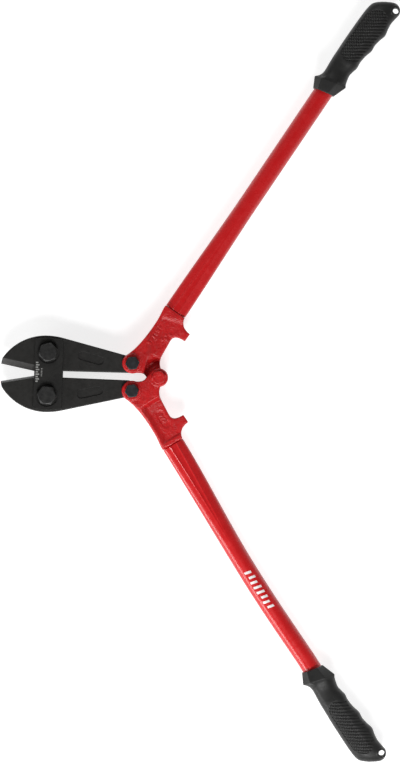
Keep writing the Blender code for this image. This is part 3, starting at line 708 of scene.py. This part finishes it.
def even_ring(points, count):
    """The same closed outline with evenly spaced points."""
    loop = np.vstack([points, points[:1]])
    run = np.concatenate([[0.0], np.cumsum(np.hypot(*np.diff(loop, axis=0).T))])
    spots = np.linspace(0.0, run[-1], count + 1)[:-1]
    return np.stack([np.interp(spots, run, loop[:, n]) for n in range(2)], 1)


def tube_section(x, inset):
    """Section of the tube: flattened with a creased strip at the casting, round beyond the swage."""
    t = np.clip((x - SEAM_X) / (SWAGE_END - SEAM_X), 0.0, 1.0)
    round_share = t * t * (3.0 - 2.0 * t)
    wide = SWAGE_WIDE + (TUBE_R - SWAGE_WIDE) * round_share - inset
    thin = SWAGE_THIN + (TUBE_R - SWAGE_THIN) * round_share - inset
    power = 3.0 - round_share
    turn = np.linspace(0.0, 2.0 * math.pi, 1441)[:-1]
    c, s = np.cos(turn), np.sin(turn)
    y = np.sign(c) * np.abs(c) ** (2.0 / power) * wide
    z = np.sign(s) * np.abs(s) ** (2.0 / power) * thin
    flat = 1.0 - round_share
    strip = CREASE_OFF * (1.0 - t)
    away = np.maximum(np.abs(y) - strip, 0.0) / (wide - strip)
    z = z * (1.0 - 0.20 * flat * away)
    crease = np.exp(-((np.abs(y) - strip) / CREASE_WIDE) ** 2)
    z = z + np.sign(s) * CREASE_HIGH * crease * flat ** 0.7 * (1.0 - ease(0.8, 1.0, t)) * (np.abs(s) > 0.2)
    return even_ring(np.stack([y, z], 1), TUBE_SIDES)


def bow_at(x, bow):
    """Outward set of a tube that has been bent a little in use."""
    t = np.clip((x - SEAM_X) / (BOW_END - SEAM_X), 0.0, 1.0)
    return bow * np.sin(math.pi * t ** 1.28) ** 1.3


def tube_mesh(bow):
    """Closed skin: a short bore with rounded lips at the seam, then the outside up into the grip."""
    rings = []

    def ring(x, section_x, inset):
        rings.append([(x, TUBE_OFFSET + bow_at(x, bow) + y, z) for y, z in tube_section(section_x, inset)])

    start = SEAM_X + GAP
    ring(start + 5.0, start, 2.0)
    ring(start, start, 2.0)
    ring(start, start, 0.55)
    ring(start + 0.16, start, 0.16)
    ring(start + 0.55, start, 0.0)
    swaged, plain = np.linspace(start + 2.0, SWAGE_END, 64), np.linspace(SWAGE_END + 12.0, TUBE_SHOWN, 13)
    for x in np.concatenate([swaged, plain]):
        ring(x, x, 0.0)
    ring(TUBE_SHOWN + 0.6, TUBE_SHOWN, 0.6)
    return loft(rings)


def tube_marks():
    """Row of slanted bars printed on the front of the lower tube."""
    start, pitch, half_wide, slant, lift = 216.5, 5.9, 1.3, -0.20, 0.06
    short_down, short_up, full = (-2.6, 4.3), (-3.8, 3.0), (-3.8, 4.3)
    reaches = [short_down, short_up, short_down, full, full, short_up, short_down, short_up]
    faces, verts = [], []
    for n, reach in enumerate(reaches):
        first = start + pitch * n
        ys = np.linspace(reach[0], reach[1], 9)
        base = len(verts)
        for y in ys:
            for off in (0.0, half_wide, 2.0 * half_wide):
                x = first + off + slant * y
                z = -math.sqrt(TUBE_R ** 2 - y * y) - lift
                verts.append((x, TUBE_OFFSET + bow_at(x, LOWER_BOW) + y, z))
        for i in range(len(ys) - 1):
            for j in range(2):
                a = base + 3 * i + j
                faces.append((a, a + 1, a + 4, a + 3))
    return mesh_of(verts, faces)


# ---------------------------------------------------------------- grips

# Outer side (x, y), inner side (x, y) and half thickness along the grip, from the tube's axis.
GRIP_STATIONS = (
    ((334.2, 11.1), (338.6, -11.2), 14.2),
    ((345.2, 16.7), (353.2, -16.7), 15.8),
    ((349.5, 13.3), (357.0, -14.9), 13.8),
    ((355.0, 11.6), (365.4, -13.1), 12.6),
    ((367.0, 12.1), (371.0, -14.0), 13.0),
    ((373.5, 12.4), (376.3, -15.2), 13.8),
    ((380.0, 12.4), (382.5, -14.7), 14.0),
    ((389.0, 12.5), (391.0, -15.6), 14.2),
    ((396.5, 12.5), (399.0, -17.8), 14.3),
    ((403.5, 12.4), (406.0, -17.5), 14.3),
    ((411.0, 12.3), (413.0, -18.7), 14.3),
    ((418.0, 12.1), (420.0, -20.6), 14.2),
    ((426.0, 11.8), (427.0, -19.4), 14.0),
    ((434.8, 11.0), (434.0, -18.8), 13.5),
    ((441.2, 8.9), (441.0, -19.8), 12.6),
    ((447.0, 2.7), (446.6, -20.5), 10.8),
    ((451.6, -5.0), (451.0, -18.2), 7.8),
    ((453.9, -10.4), (453.7, -14.2), 3.2),
)
# Outline of the knurled panel on both faces.
PANEL = ((375.9, -0.4), (378.0, 5.5), (383.0, 8.2), (391.3, 8.7), (403.0, 8.6), (423.8, 8.1), (430.5, 6.8),
         (435.5, 3.0), (439.0, -2.9), (438.0, -8.7), (434.5, -12.6), (428.0, -15.4), (421.0, -15.6),
         (411.3, -14.8), (401.3, -13.6), (396.3, -12.9), (386.3, -11.9), (381.3, -11.4), (377.6, -6.2))


def grip_mesh():
    """Both faces alike: faceted collar, oval body with finger grooves, panel of cut diamonds, hang hole."""
    low, high = (332.0, -22.5, -17.5), (456.0, 19.0, 17.5)
    x, y, z = grid(low, high, GRIP_GRID)

    def leaned(x, y):
        """Distance along the grip, with the collar's slant taken out."""
        return x + 0.24 * y * (1.0 - ease(352.0, 374.0, x))

    runs = []
    for pick in (0, 1):
        side = [station[pick] for station in GRIP_STATIONS]
        curve = side[:1] + through(side[1:], 8)
        runs.append((np.array([leaned(*p) for p in curve]), np.array([p[1] for p in curve])))
    thick_x = [(leaned(*a) + leaned(*b)) / 2.0 for a, b, _ in GRIP_STATIONS]
    thick = [h for _, _, h in GRIP_STATIONS]
    curve = [(thick_x[0], thick[0])] + through(list(zip(thick_x, thick))[1:], 8)
    s = leaned(x, y)
    outer = np.interp(s, runs[0][0], runs[0][1])
    inner = np.interp(s, runs[1][0], runs[1][1])
    half = np.interp(s, [p[0] for p in curve], [p[1] for p in curve])
    middle, wide = (outer + inner) / 2.0, (outer - inner) / 2.0
    across, up = (y - middle) / wide, np.abs(z) / half

    oval = (np.abs(across) ** 2.5 + up ** 2.5) ** (1.0 / 2.5) - 1.0
    facets = np.maximum(np.maximum(up, np.abs(across)) - 1.0, np.maximum(
        (up + 1.05 * -across - 1.42) / 1.45, (up + 1.25 * across - 1.72) / 1.6))
    collar = 1.0 - ease(349.0, 354.5, s)
    body = (oval + (facets - oval) * collar) * np.minimum(wide, half)

    px, py = x[:, :, 0], y[:, :, 0]
    panel = 1.0 - ease(-0.5, 0.35, outline_distance(px, py, through(list(PANEL) + [PANEL[0]], 4)[:-1]))

    def ridges(normal_x, normal_y, pitch, share):
        phase = (px * normal_x + py * normal_y) / pitch
        return 1.0 - ease(share - 0.13, share + 0.13, np.abs(phase - np.round(phase)))

    falling = ridges(0.839, 0.545, 3.23, 0.31)
    rising = ridges(-0.625, 0.781, 2.40, 0.30)
    split = 1.0 - ease(-0.5, 0.5, py - (-3.9 - 0.065 * (px - 378.0)))
    fall_cut, rise_cut = 0.85, 0.70
    depth = panel * (fall_cut * (1.0 - falling) + rise_cut * falling * (1.0 - rising) * (1.0 - split))
    facing = ease(0.35, 0.7, up)
    body = body + depth[:, :, None] * facing

    hang = np.hypot(px - HANG_X, py - HANG_Y)
    lip = 0.45 * (1.0 - ease(0.5, 1.1, np.abs(hang - 4.6)))
    body = body - lip[:, :, None] * facing
    body = both(body + GRIP_INSET, x - GRIP_END + GRIP_INSET, 1.0)
    body = without(body, np.broadcast_to((hang - HANG_R)[:, :, None], z.shape), 0.5)
    bore_room, end_room = 0.2, 1.5
    bore = np.maximum(np.hypot(y, z) - TUBE_R - bore_room, x - TUBE_SHOWN - end_room)
    body = without(body, bore, 0.5)
    slanted_mouth = GRIP_START - (x + 0.197 * y - 2.2)
    body = both(body, slanted_mouth, 0.7)
    mesh = skin(body, low, GRIP_GRID, 2)
    mesh.transform(Matrix.Translation((0.0, TUBE_OFFSET, 0.0)))
    return mesh


# ---------------------------------------------------------------- jaws

def opened(x, y):
    """A point of the closed jaw, turned to where it lies on the opened jaw."""
    c, s = math.cos(math.radians(JAW_OPEN)), math.sin(math.radians(JAW_OPEN))
    return (x * c + y * s, -x * s + y * c)


def jaw_outline():
    nose, crown, shoulder = (-46.9, -7.2), (-0.9, 17.1), (15.5, 15.0)
    points = [opened(-EDGE_ROOT, EDGE_Y), opened(-EDGE_TIP, EDGE_Y), nose]
    points += arc_through(nose, (-28.5, 10.0), crown, 40)[1:]
    points += arc_through(crown, (8.3, 16.4), shoulder, 12)[1:]
    points += arc(TAIL_HOLE, TAIL_END_R, 134.0, -50.0, 40)
    points += [(84.2, -18.1), (82.6, -18.4), (16.5, -18.9), (1.0, -18.9), (-2.5, -19.4)]
    return list(reversed(points))


def grind(width, side):
    """Prism that takes one face of the blade down to the cutting edge."""
    tip, root = opened(-EDGE_TIP - 4.0, EDGE_Y), opened(-EDGE_ROOT + 0.5, EDGE_Y)
    origin, unit = opened(0.0, 0.0), opened(0.0, 1.0)
    inward = (unit[0] - origin[0], unit[1] - origin[1])
    slope = JAW_HALF / width
    over = JAW_HALF + 1.0
    points = []
    for end in (tip, root):
        points += [(end[0] + inward[0] * n, end[1] + inward[1] * n, side * level)
                   for n, level in ((-1.0, -slope), (over / slope, over), (-1.0, over))]
    return hull(points)


def pad(side):
    """Blank oval sunk in the tail's face."""
    angle = math.radians(PAD_TILT)
    points = []
    for sign in (1.0, -1.0):
        off = sign * PAD_REACH
        middle = (PAD_CENTER[0] + off * math.cos(angle), PAD_CENTER[1] + off * math.sin(angle))
        turn = math.degrees(angle) + (0.0 if sign > 0 else 180.0)
        points += arc(middle, PAD_R, turn - 90.0, turn + 90.0, 20)
    face = JAW_HALF * side
    inside, out = face - PAD_DEPTH * side, face + 2.0 * side
    return slab(points, min(inside, out), max(inside, out), 0.3)


def jaw_mesh():
    """Forged blank, ground on both faces of the blade, bored twice and padded on both faces of the tail."""
    blank = slab(jaw_outline(), -JAW_HALF, JAW_HALF, JAW_RIM, 4)
    ground = [grind(BEVEL_WIDE, 1.0), grind(BEVEL_NARROW, -1.0)]
    black = [drum(M12["bore"], -8.0, 8.0), drum(TAIL_HOLE_R, -8.0, 8.0, TAIL_HOLE), pad(1.0), pad(-1.0)]
    for mesh in (blank, *black):
        mesh.materials.append(JAW_BLACK)
    for mesh in ground:
        mesh.materials.append(GROUND)
    return carved(blank, ground + black)


# ---------------------------------------------------------------- cover plates

def plate_mesh():
    top = arc_through((-13.8, 35.5), (0.0, 37.0), (15.2, 35.2), 28)
    bottom = [(x, -y) for x, y in reversed(top)]
    low = JAW_HALF + GAP
    high = low + PLATE_THICK
    blank = slab(list(reversed(top + bottom)), low, high, PLATE_RIM)
    cuts = []
    for y in (JAW_BOLT_Y, -JAW_BOLT_Y):
        cuts.append(drum(M12["bore"], low - 1.0, high + 1.0, (0.0, y)))
        cuts.append(drum(COUNTERBORE_R, high - COUNTERBORE - COUNTERBORE_EXTRA, high + 2.0, (0.0, y), 96))
    return carved(blank, cuts, 0.14)


def plate_marks():
    """Two columns of plain ticks printed on the front plate."""
    lift = 0.04
    level = JAW_HALF + GAP + PLATE_THICK + lift
    verts, faces = [], []

    def tick(x0, x1, y0, y1):
        base = len(verts)
        verts.extend([(x0, y0, level), (x1, y0, level), (x1, y1, level), (x0, y1, level)])
        faces.append((base, base + 1, base + 2, base + 3))

    for n in range(9):
        y = -8.6 + 2.4 * n
        tick(-12.3, -8.7 if n % 2 else -9.9, y, y + 1.35)
    for n in range(6):
        y = -2.6 + 1.5 * n
        tick(-7.0, -5.5, y, y + 0.6)
    return mesh_of(verts, faces)


# ---------------------------------------------------------------- fasteners

ROUND = np.linspace(0.0, 2.0 * math.pi, HEX_SIDES + 1)[:-1]


def hex_radius(corner, turn):
    """Radius of a hexagon with blunted corners, all the way round."""
    flat = corner * math.cos(math.radians(30.0))
    fold = np.mod(ROUND - math.radians(turn), math.radians(60.0)) - math.radians(30.0)
    return np.minimum(flat / np.cos(fold), corner * 0.985)


def circle(radius, z):
    """Ring of points.  The radius and the height may be one number or one for each point."""
    return np.stack([radius * np.cos(ROUND), radius * np.sin(ROUND), np.broadcast_to(z, HEX_SIDES)], 1)


def hex_side(corner, turn, edge_z, sign):
    """Rings over a chamfered end of a hexagon, from its flat face to its side."""
    radius = hex_radius(corner, turn)
    flat = corner * math.cos(math.radians(30.0)) * 0.955
    rings = [circle(flat - 0.35, edge_z), circle(flat - 0.08, edge_z - sign * 0.03),
             circle(flat + 0.06, edge_z - sign * 0.09)]
    for shrink, drop in ((0.16, 0.02), (0.04, 0.10), (0.0, 0.26)):
        r = radius - shrink
        rings.append(circle(r, edge_z - sign * ((r - flat) * CHAMFER + drop)))
    return rings


def bolt_mesh(shank, corner, low, high, turn):
    """Chamfered head, shank and a ridged end in place of a thread."""
    rings = [circle(corner * 0.6, high)]
    rings += hex_side(corner, turn, high, 1.0)
    radius = hex_radius(corner, turn)
    rings += [circle(radius - shrink, z) for shrink, z in ((0.0, low + 0.2), (0.06, low + 0.06), (0.2, low))]
    flat = corner * math.cos(math.radians(30.0))
    rings += [circle(flat - 0.3, low), circle(flat - 0.4, low - 0.2), circle(shank + 0.2, low - 0.2),
              circle(shank, low - 0.4)]
    pitch = 0.2 * shank
    turns = int(6.0 / pitch)
    thread_top = BOLT_END + 0.7 + turns * pitch
    for n in range(turns):
        top = thread_top - n * pitch
        rings += [circle(shank, top), circle(shank, top - 0.12 * pitch),
                  circle(shank - 0.5 * pitch, top - 0.5 * pitch), circle(shank, top - 0.88 * pitch)]
    rings += [circle(shank, BOLT_END + 0.7), circle(shank - 0.7, BOLT_END)]
    return loft(rings)


def nut_mesh(bore, corner, low, high, turn):
    """Nut chamfered at both ends, with a ridged bore."""
    rings = [circle(bore + 0.7, high)]
    rings += hex_side(corner, turn, high, 1.0)
    rings += list(reversed(hex_side(corner, turn, low, -1.0)))
    rings += [circle(bore + 0.7, low), circle(bore, low + 0.7)]
    pitch = 0.2 * bore
    turns = int((high - low - 1.4) / pitch)
    for n in range(turns):
        start = low + 0.7 + (n + 0.5) * (high - low - 1.4) / turns
        rings += [circle(bore + 0.35 * pitch, start - 0.2 * pitch), circle(bore, start + 0.2 * pitch)]
    rings.append(circle(bore, high - 0.7))
    return loft(rings, close_ring=True)


def washer_mesh(inner, outer, low, high):
    soft = 0.22
    return loft([circle(outer - soft, high), circle(outer - 0.3 * soft, high - 0.3 * soft),
                 circle(outer, high - soft), circle(outer, low + soft), circle(outer - soft, low),
                 circle(inner + soft, low), circle(inner, low + soft), circle(inner, high - soft),
                 circle(inner + soft, high)], close_ring=True)


def shifted(mesh, spot, flip):
    """The mesh at a spot of its body's plane, turned front to back first with flip."""
    if flip:
        mesh.transform(TURNED_OVER)
    mesh.transform(Matrix.Translation((spot[0], spot[1], 0.0)))
    return mesh


def fasten(name, side, body, spot, flip, turn, size, seat, mat):
    """Bolt, washer and nut through what lies between seat and -seat."""
    washer_end = -seat - size["washer_thick"]
    bolt = bolt_mesh(size["shank"], size["hex"], seat, seat + size["head"], turn)
    washer = washer_mesh(size["bore"], size["washer"], washer_end, -seat)
    nut = nut_mesh(size["bore"], size["nut_hex"], BOLT_END + size["nut_off"], washer_end - GAP, turn + size["nut_turn"])
    for kind, node, mesh in (("hex_bolt", "bolt", bolt), ("flat_washer", "washer", washer), ("hex_nut", "nut", nut)):
        piece(f"{name}_{kind}{side}", shifted(mesh, spot, flip), body, f"{name}_{node}{side}", mat, CRISP)


# ---------------------------------------------------------------- the tool

def build_head():
    front, rear = plate_mesh(), plate_mesh()
    rear.transform(TURNED_OVER)
    for side, mesh in (("front", front), ("rear", rear)):
        piece(f"cover_plate_{side}_steel", mesh, "head", "cover_plate_" + side, PLATE_BLACK, 40.0)
    piece("cover_plate_ticks", plate_marks(), "head", None, GREY_INK)
    seat = JAW_HALF + GAP + PLATE_THICK - COUNTERBORE + GAP
    for side, y, turn in (("_upper", JAW_BOLT_Y, 17.3), ("_lower", -JAW_BOLT_Y, -5.0)):
        fasten("jaw", side, "head", (0.0, y), False, turn, M12, seat, HEX_BLACK)


def build_handles():
    casting, grip, jaw = casting_mesh(), grip_mesh(), jaw_mesh()
    seat = BOSS_HALF + GAP
    for side, flip, bow in (("_upper", False, 0.0), ("_lower", True, LOWER_BOW)):
        body = side[1:] + "_handle"
        piece("jaw_forging" + side, jaw.copy(), side[1:] + "_jaw", "jaw" + side, None, 30.0)
        piece("fork_casting" + side, casting.copy(), body, "handle_casting" + side, CAST_RED)
        piece("swaged_tube" + side, tube_mesh(bow), body, "handle_tube" + side, TUBE_RED, 60.0)
        piece("rubber_grip" + side, grip.copy(), body, "grip" + side, RUBBER)
        fasten("link", side, body, LINK, flip, 8.0, M8, seat, LINK_BLACK)
    piece("tube_bars", tube_marks(), "lower_handle", None, WHITE_INK)
    fasten("fulcrum", "", "fulcrum", (0.0, 0.0), False, 12.0, M8, seat, CAST_RED)


build_head()
build_handles()


# ---------------------------------------------------------------- floor, light and camera

def add_floor():
    """Pale floor that also glows, so that it comes out as white as the photograph's background."""
    corners = [(x * FLOOR_REACH, y * FLOOR_REACH, 0.0) for x, y in ((-1, -1), (1, -1), (1, 1), (-1, 1))]
    mesh = mesh_of(corners, [(0, 1, 2, 3)])
    floor = added("floor", mesh)
    floor.location.z = -FLOOR_DROP
    paint = Paint("floor_white", 0.9, 0.0, 0.0)
    paint.colour(paint.blend(paint.noise(0.4, 2.0), (0.48, 0.48, 0.48), (0.52, 0.52, 0.52)))
    paint.shader.inputs["Emission Color"].default_value = (1.0, 1.0, 1.0, 1.0)
    paint.shader.inputs["Emission Strength"].default_value = FLOOR_GLOW
    mesh.materials.append(paint.mat)


def add_light(name, azimuth, elevation, distance, width, height, power):
    """Softbox aimed at the tool.  Azimuth is the way to the light, from +X."""
    data = bpy.data.lights.new(name, "AREA")
    data.shape = "RECTANGLE"
    data.size, data.size_y = width, height
    data.energy = power
    lamp = added(name, data)
    a, e = math.radians(azimuth), math.radians(elevation)
    away = Vector((math.cos(a) * math.cos(e), math.sin(a) * math.cos(e), math.sin(e)))
    lamp.location = away * distance
    lamp.rotation_euler = (-away).to_track_quat("-Z", "Y").to_euler()
    lamp.visible_camera = False


def add_world():
    """White tent: bright round the horizon, darker overhead."""
    world = bpy.data.worlds.new("tent")
    bpy.context.scene.world = world
    world.use_nodes = True
    tree = world.node_tree
    spot = tree.nodes.new("ShaderNodeTexCoord")
    split = tree.nodes.new("ShaderNodeSeparateXYZ")
    ramp = tree.nodes.new("ShaderNodeValToRGB")
    tree.links.new(spot.outputs["Generated"], split.inputs["Vector"])
    tree.links.new(split.outputs["Z"], ramp.inputs["Fac"])
    stops = ramp.color_ramp.elements
    stops.new(TENT[1][0])
    for stop, (place, bright) in zip(stops, TENT):
        stop.position, stop.color = place, (bright, bright, bright, 1.0)
    background = tree.nodes["Background"]
    tree.links.new(ramp.outputs["Color"], background.inputs["Color"])
    background.inputs["Strength"].default_value = 1.0


def add_camera():
    """Straight down, with the tool's axis falling slightly to the right as in the photograph."""
    roll = math.radians(CAMERA_ROLL)
    data = bpy.data.cameras.new("camera")
    camera = added("camera", data)
    right, down = AIM_RIGHT * MM_PER_PIXEL * MM, AIM_DOWN * MM_PER_PIXEL * MM
    x = FULCRUM.x + right * math.cos(roll) + down * math.sin(roll)
    y = FULCRUM.y + right * math.sin(roll) - down * math.cos(roll)
    camera.location = (x, y, FULCRUM.z + CAMERA_HIGH)
    camera.rotation_euler = (0.0, 0.0, roll)
    data.lens = data.sensor_width * CAMERA_HIGH / (PHOTO_HIGH * MM_PER_PIXEL * MM)
    data.clip_end = 50.0
    bpy.context.scene.camera = camera


add_floor()
add_world()
for name, setting in LIGHTS.items():
    add_light(name, *setting)
add_camera()
bpy.context.scene.view_settings.view_transform = "Standard"
